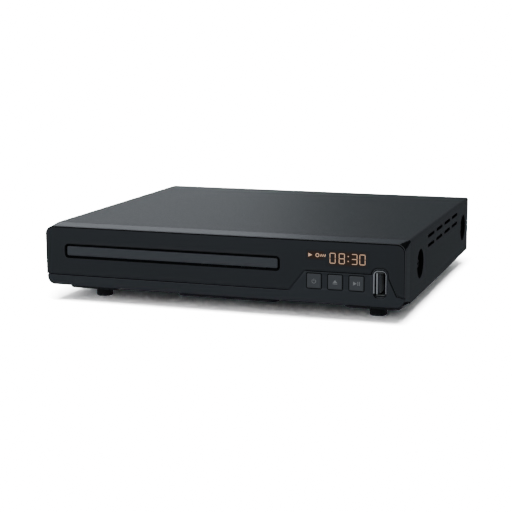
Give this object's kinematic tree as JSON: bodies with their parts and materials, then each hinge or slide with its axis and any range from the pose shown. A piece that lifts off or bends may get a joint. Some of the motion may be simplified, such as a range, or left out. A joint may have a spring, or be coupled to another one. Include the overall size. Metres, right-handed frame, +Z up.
{
  "type": "disc player",
  "caption": "Compact disc player with a motor-driven tray on the left, square keys, an upright USB port, an amber clock display, a vented steel cover and pressed feet pads.",
  "frame": {"origin": "on the table under the middle of the outline, jacks included", "axes": "+X to the right seen from the front, -Y out of the front, +Z up"},
  "size_m": [0.225, 0.2074, 0.0488],
  "materials": {
    "cover_steel": "fine satin black powder coat",
    "chassis_steel": "satin black coated sheet",
    "bridge_steel": "zinc plated sheet",
    "bezel_plastic": "satin black ABS",
    "plate_plastic": "satin smoked black",
    "door_plastic": "satin black ABS",
    "key_plastic": "satin black ABS",
    "foot_rubber": "matt black",
    "screw_steel": "black zinc",
    "display_plastic": "black with amber digits",
    "receiver_plastic": "dark red translucent",
    "board_green": "green lacquered laminate",
    "switch_plastic": "matt black",
    "plated_steel": "nickel plated",
    "tongue_plastic": "off-white",
    "frame_plastic": "matt black ABS",
    "tray_plastic": "matt black ABS",
    "puck_plastic": "matt black",
    "damper_rubber": "soft brown-red",
    "traverse_plastic": "glass-filled black",
    "pickup_metal": "die cast",
    "lens_glass": "coated",
    "polished_steel": "ground",
    "gear_plastic": "natural acetal",
    "belt_rubber": "black",
    "chip_plastic": "black epoxy",
    "connector_plastic": "cream nylon",
    "capacitor_aluminium": "dark sleeves",
    "ferrite": "ferrite with yellow tape",
    "heatsink_aluminium": "bare",
    "fuse_glass": "glass tube with metal caps",
    "socket_plastic": "black",
    "jack_brass": "gold plated",
    "ribbon_plastic": "white flat cable",
    "wire_plastic": "insulated wires"
  },
  "bodies": {
    "case": {"top_cover": "cover_steel", "bottom_chassis": "chassis_steel", "front_bezel": "bezel_plastic", "front_plate": "plate_plastic", "rear_panel": "chassis_steel", "case_screws": "screw_steel", "loader_screws": "screw_steel", "board_screws": "screw_steel", "display_module": "display_plastic", "ir_receiver": "receiver_plastic", "front_board": "board_green", "tact_switches": "switch_plastic", "usb_shell": "plated_steel", "usb_tongue": "tongue_plastic", "loader_frame": "frame_plastic", "clamp_bridge": "bridge_steel", "loading_motor": "plated_steel", "drive_belt": "belt_rubber", "main_board": "board_green", "board_chips": "chip_plastic", "board_connectors": "connector_plastic", "capacitors": "capacitor_aluminium", "power_board": "board_green", "transformer": "ferrite", "heatsink": "heatsink_aluminium", "fuse": "fuse_glass", "ac_inlet": "socket_plastic", "scart_socket": "socket_plastic", "hdmi_socket": "plated_steel", "jack_blocks": "socket_plastic", "jack_barrels": "jack_brass", "ribbon_cable": "ribbon_plastic", "power_harness": "wire_plastic", "foot_front_left": "foot_rubber", "foot_front_right": "foot_rubber", "foot_rear_left": "foot_rubber", "foot_rear_right": "foot_rubber"},
    "tray": {"disc_tray": "tray_plastic", "tray_door": "door_plastic"},
    "power_key": {"button_power": "key_plastic", "plunger_power": "switch_plastic"},
    "eject_key": {"button_eject": "key_plastic", "plunger_eject": "switch_plastic"},
    "play_key": {"button_play": "key_plastic", "plunger_play": "switch_plastic"},
    "motor_drive": {"motor_pulley": "gear_plastic"},
    "pulley_wheel": {"pulley_gear": "gear_plastic"},
    "tray_wheel": {"tray_gear": "gear_plastic"},
    "cam": {"cam_slider": "gear_plastic"},
    "traverse": {"lift_frame": "frame_plastic", "dampers": "damper_rubber", "traverse_deck": "traverse_plastic", "spindle_motor": "plated_steel", "guide_rods": "polished_steel", "sled_motor": "plated_steel"},
    "platter": {"turntable": "puck_plastic"},
    "sled": {"optical_pickup": "pickup_metal", "pickup_lens": "lens_glass"},
    "feed_screw": {"sled_screw": "polished_steel"},
    "clamp": {"clamp_puck": "puck_plastic"}
  },
  "joints": [
    {"name": "tray_slide", "type": "slide", "parent": "case", "child": "tray", "axis": [0, -1, 0], "range_m": [0, 0.1296]},
    {"name": "tray_gear_spin", "type": "hinge", "parent": "case", "child": "tray_wheel", "pos_m": [0.0098, -0.07775, 0.0212], "axis": [0, 0, 1], "range_deg": [-928.69, 0]},
    {"name": "pulley_gear_spin", "type": "hinge", "parent": "case", "child": "pulley_wheel", "pos_m": [-0.0062, -0.07775, 0.0246], "axis": [0, 0, 1], "range_deg": [0, 2166.28]},
    {"name": "motor_pulley_spin", "type": "hinge", "parent": "case", "child": "motor_drive", "pos_m": [-0.0382, -0.07775, 0.0246], "axis": [0, 0, 1], "range_deg": [0, 7919.14]},
    {"name": "lift_hinge", "type": "hinge", "parent": "case", "child": "traverse", "pos_m": [-0.0302, 0.04595, 0.0215], "axis": [1, 0, 0], "range_deg": [0, 3.5]},
    {"name": "cam_slide", "type": "slide", "parent": "case", "child": "cam", "axis": [1, 0, 0], "range_m": [0, 0.02501]},
    {"name": "turntable_spin", "type": "hinge", "parent": "traverse", "child": "platter", "pos_m": [-0.0302, -0.03575, 0.035], "axis": [0, 0, 1], "continuous": true},
    {"name": "clamp_spin", "type": "hinge", "parent": "case", "child": "clamp", "pos_m": [-0.0302, -0.03575, 0.0384], "axis": [0, 0, 1], "continuous": true},
    {"name": "sled_slide", "type": "slide", "parent": "traverse", "child": "sled", "axis": [0, 1, 0], "range_m": [0, 0.034]},
    {"name": "sled_screw_spin", "type": "hinge", "parent": "traverse", "child": "feed_screw", "pos_m": [0.0008, -0.03575, 0.023], "axis": [0, 1, 0], "range_deg": [0, 4080.5]},
    {"name": "power_press", "type": "slide", "parent": "case", "child": "power_key", "axis": [0, 1, 0], "range_m": [0, 0.0005], "stiffness_N_per_m": 1500, "springref_m": -0.0003},
    {"name": "eject_press", "type": "slide", "parent": "case", "child": "eject_key", "axis": [0, 1, 0], "range_m": [0, 0.0005], "stiffness_N_per_m": 1500, "springref_m": -0.0003},
    {"name": "play_press", "type": "slide", "parent": "case", "child": "play_key", "axis": [0, 1, 0], "range_m": [0, 0.0005], "stiffness_N_per_m": 1500, "springref_m": -0.0003}
  ],
  "couplings": [
    {"joint": "tray_gear_spin", "follows": "tray_slide", "rad_per_m": -125},
    {"joint": "pulley_gear_spin", "follows": "tray_slide", "rad_per_m": 291.67},
    {"joint": "motor_pulley_spin", "follows": "tray_slide", "rad_per_m": 1066.4},
    {"joint": "cam_slide", "follows": "lift_hinge", "m_per_rad": 0.40926},
    {"joint": "clamp_spin", "follows": "turntable_spin", "ratio": 1},
    {"joint": "sled_screw_spin", "follows": "sled_slide", "rad_per_m": 2094.4}
  ]
}
